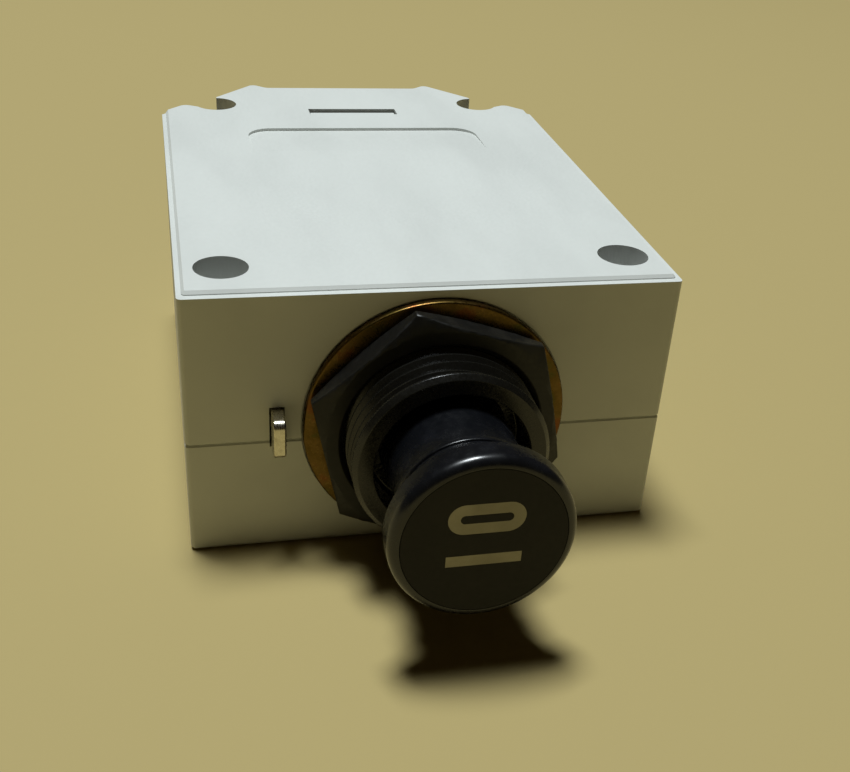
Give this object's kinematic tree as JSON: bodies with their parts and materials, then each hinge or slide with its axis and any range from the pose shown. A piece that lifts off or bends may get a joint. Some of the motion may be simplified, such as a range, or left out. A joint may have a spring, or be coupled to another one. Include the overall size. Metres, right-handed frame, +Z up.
{
  "type": "circuit breaker",
  "caption": "Push-pull thermal-magnetic circuit breaker in a flat two-shell housing, with a threadneck, hexagon nut and black button, and screw terminals at the rear.",
  "frame": {"origin": "on the threadneck's axis, in the plane of the housing's front face, which lies against the panel", "axes": "-Y points out of the panel towards the user, +Y runs back into the housing, +Z is up as the housing lies on its large face, +X is to the user's right"},
  "size_m": [0.051, 0.0911, 0.0297],
  "materials": {
    "housing_plastic": "fine moulded texture, slightly satin",
    "rivet_steel": "zinc plated, rolled edge",
    "neck_black": "semi-gloss moulded thread",
    "nut_black": "black oxide, oiled",
    "washer_yellow": "yellow passivated zinc",
    "tab_steel": "bright zinc",
    "seal_rubber": "matt",
    "button_black": "polished moulding",
    "disc_black": "fine matt texture",
    "mark_ivory": "printed infill",
    "rod_steel": "ground",
    "spring_steel": "drawn wire",
    "carriage_plastic": "thermoset moulding",
    "copper": "rolled, slightly dulled",
    "silver_contact": "pressed silver alloy",
    "terminal_brass": "tin-flashed rolled brass",
    "screw_steel": "nickel plated",
    "bobbin_plastic": "glass-filled nylon",
    "magnet_wire": "enamelled copper",
    "soft_iron": "zinc flashed",
    "bimetal": "rolled, heat tinted",
    "lever_plastic": "moulded acetal",
    "splitter_steel": "copper flashed",
    "fibre_board": "vulcanised fibre"
  },
  "bodies": {
    "housing": {"upper_shell": "housing_plastic", "lower_shell": "housing_plastic", "front_rivets": "rivet_steel", "threadneck": "neck_black", "locating_tab": "tab_steel", "neck_seal": "seal_rubber", "fixed_tips": "silver_contact", "return_spring": "spring_steel", "fixed_contact_line": "copper", "fixed_contact_load": "copper", "terminal_line": "terminal_brass", "terminal_load": "terminal_brass", "terminal_screws": "screw_steel", "terminal_washers": "screw_steel", "terminal_nuts": "terminal_brass", "coil_bobbin": "bobbin_plastic", "magnet_coil": "magnet_wire", "magnet_core": "soft_iron", "magnet_yoke": "soft_iron", "bimetal_bracket": "terminal_brass", "calibration_screw": "screw_steel", "flexible_braid": "copper", "trip_lever_pin": "rod_steel", "trip_spring": "spring_steel", "arc_splitters": "splitter_steel", "arc_boards": "fibre_board", "insulating_barrier": "fibre_board"},
    "button": {"button_cap": "button_black", "button_disc": "disc_black", "button_marks": "mark_ivory", "button_rod": "rod_steel", "retaining_clip": "spring_steel"},
    "carriage": {"contact_carriage": "carriage_plastic", "contact_spring": "spring_steel"},
    "bridge": {"contact_bridge": "copper", "bridge_tips": "silver_contact"},
    "washer": {"lock_washer": "washer_yellow"},
    "nut": {"hex_nut": "nut_black"},
    "lever": {"trip_lever": "lever_plastic"},
    "armature": {"armature": "soft_iron", "armature_spring": "spring_steel"},
    "bimetal": {"bimetal_strip": "bimetal"}
  },
  "joints": [
    {"name": "button_slide", "type": "slide", "parent": "housing", "child": "button", "axis": [0, 1, 0], "range_m": [0, 0.0065]},
    {"name": "carriage_slide", "type": "slide", "parent": "housing", "child": "carriage", "axis": [0, 1, 0], "range_m": [0, 0.0065], "deforming": ["return_spring"]},
    {"name": "bridge_slide", "type": "slide", "parent": "housing", "child": "bridge", "axis": [0, 1, 0], "range_m": [0, 0.005], "deforming": ["contact_spring"]},
    {"name": "washer_slide", "type": "slide", "parent": "housing", "child": "washer", "axis": [0, -1, 0], "range_m": [0, 0.005]},
    {"name": "nut_turn", "type": "hinge", "parent": "washer", "child": "nut", "pos_m": [0, 0, 0], "axis": [0, -1, 0], "range_deg": [0, 1200]},
    {"name": "trip_lever_turn", "type": "hinge", "parent": "housing", "child": "lever", "pos_m": [0, 0.031, 0.006], "axis": [0, 0, -1], "range_deg": [0, 10], "stiffness_Nm_per_rad": 0.002, "deforming": ["trip_spring"]},
    {"name": "armature_slide", "type": "slide", "parent": "housing", "child": "armature", "axis": [0, 1, 0], "range_m": [0, 0.00288], "stiffness_N_per_m": 20, "deforming": ["armature_spring"]},
    {"name": "bimetal_bend", "type": "hinge", "parent": "housing", "child": "bimetal", "pos_m": [0.0156, 0.0465, 0.003], "axis": [0, 0, -1], "range_deg": [0, 5], "stiffness_Nm_per_rad": 0.5, "deforming": ["flexible_braid"]}
  ],
  "couplings": [
    {"joint": "carriage_slide", "follows": "button_slide", "ratio": 1},
    {"joint": "bridge_slide", "follows": "button_slide", "ratio": 0.76923},
    {"joint": "washer_slide", "follows": "nut_turn", "m_per_rad": 0.00023873},
    {"joint": "trip_lever_turn", "follows": "armature_slide", "rad_per_m": 60.602}
  ]
}
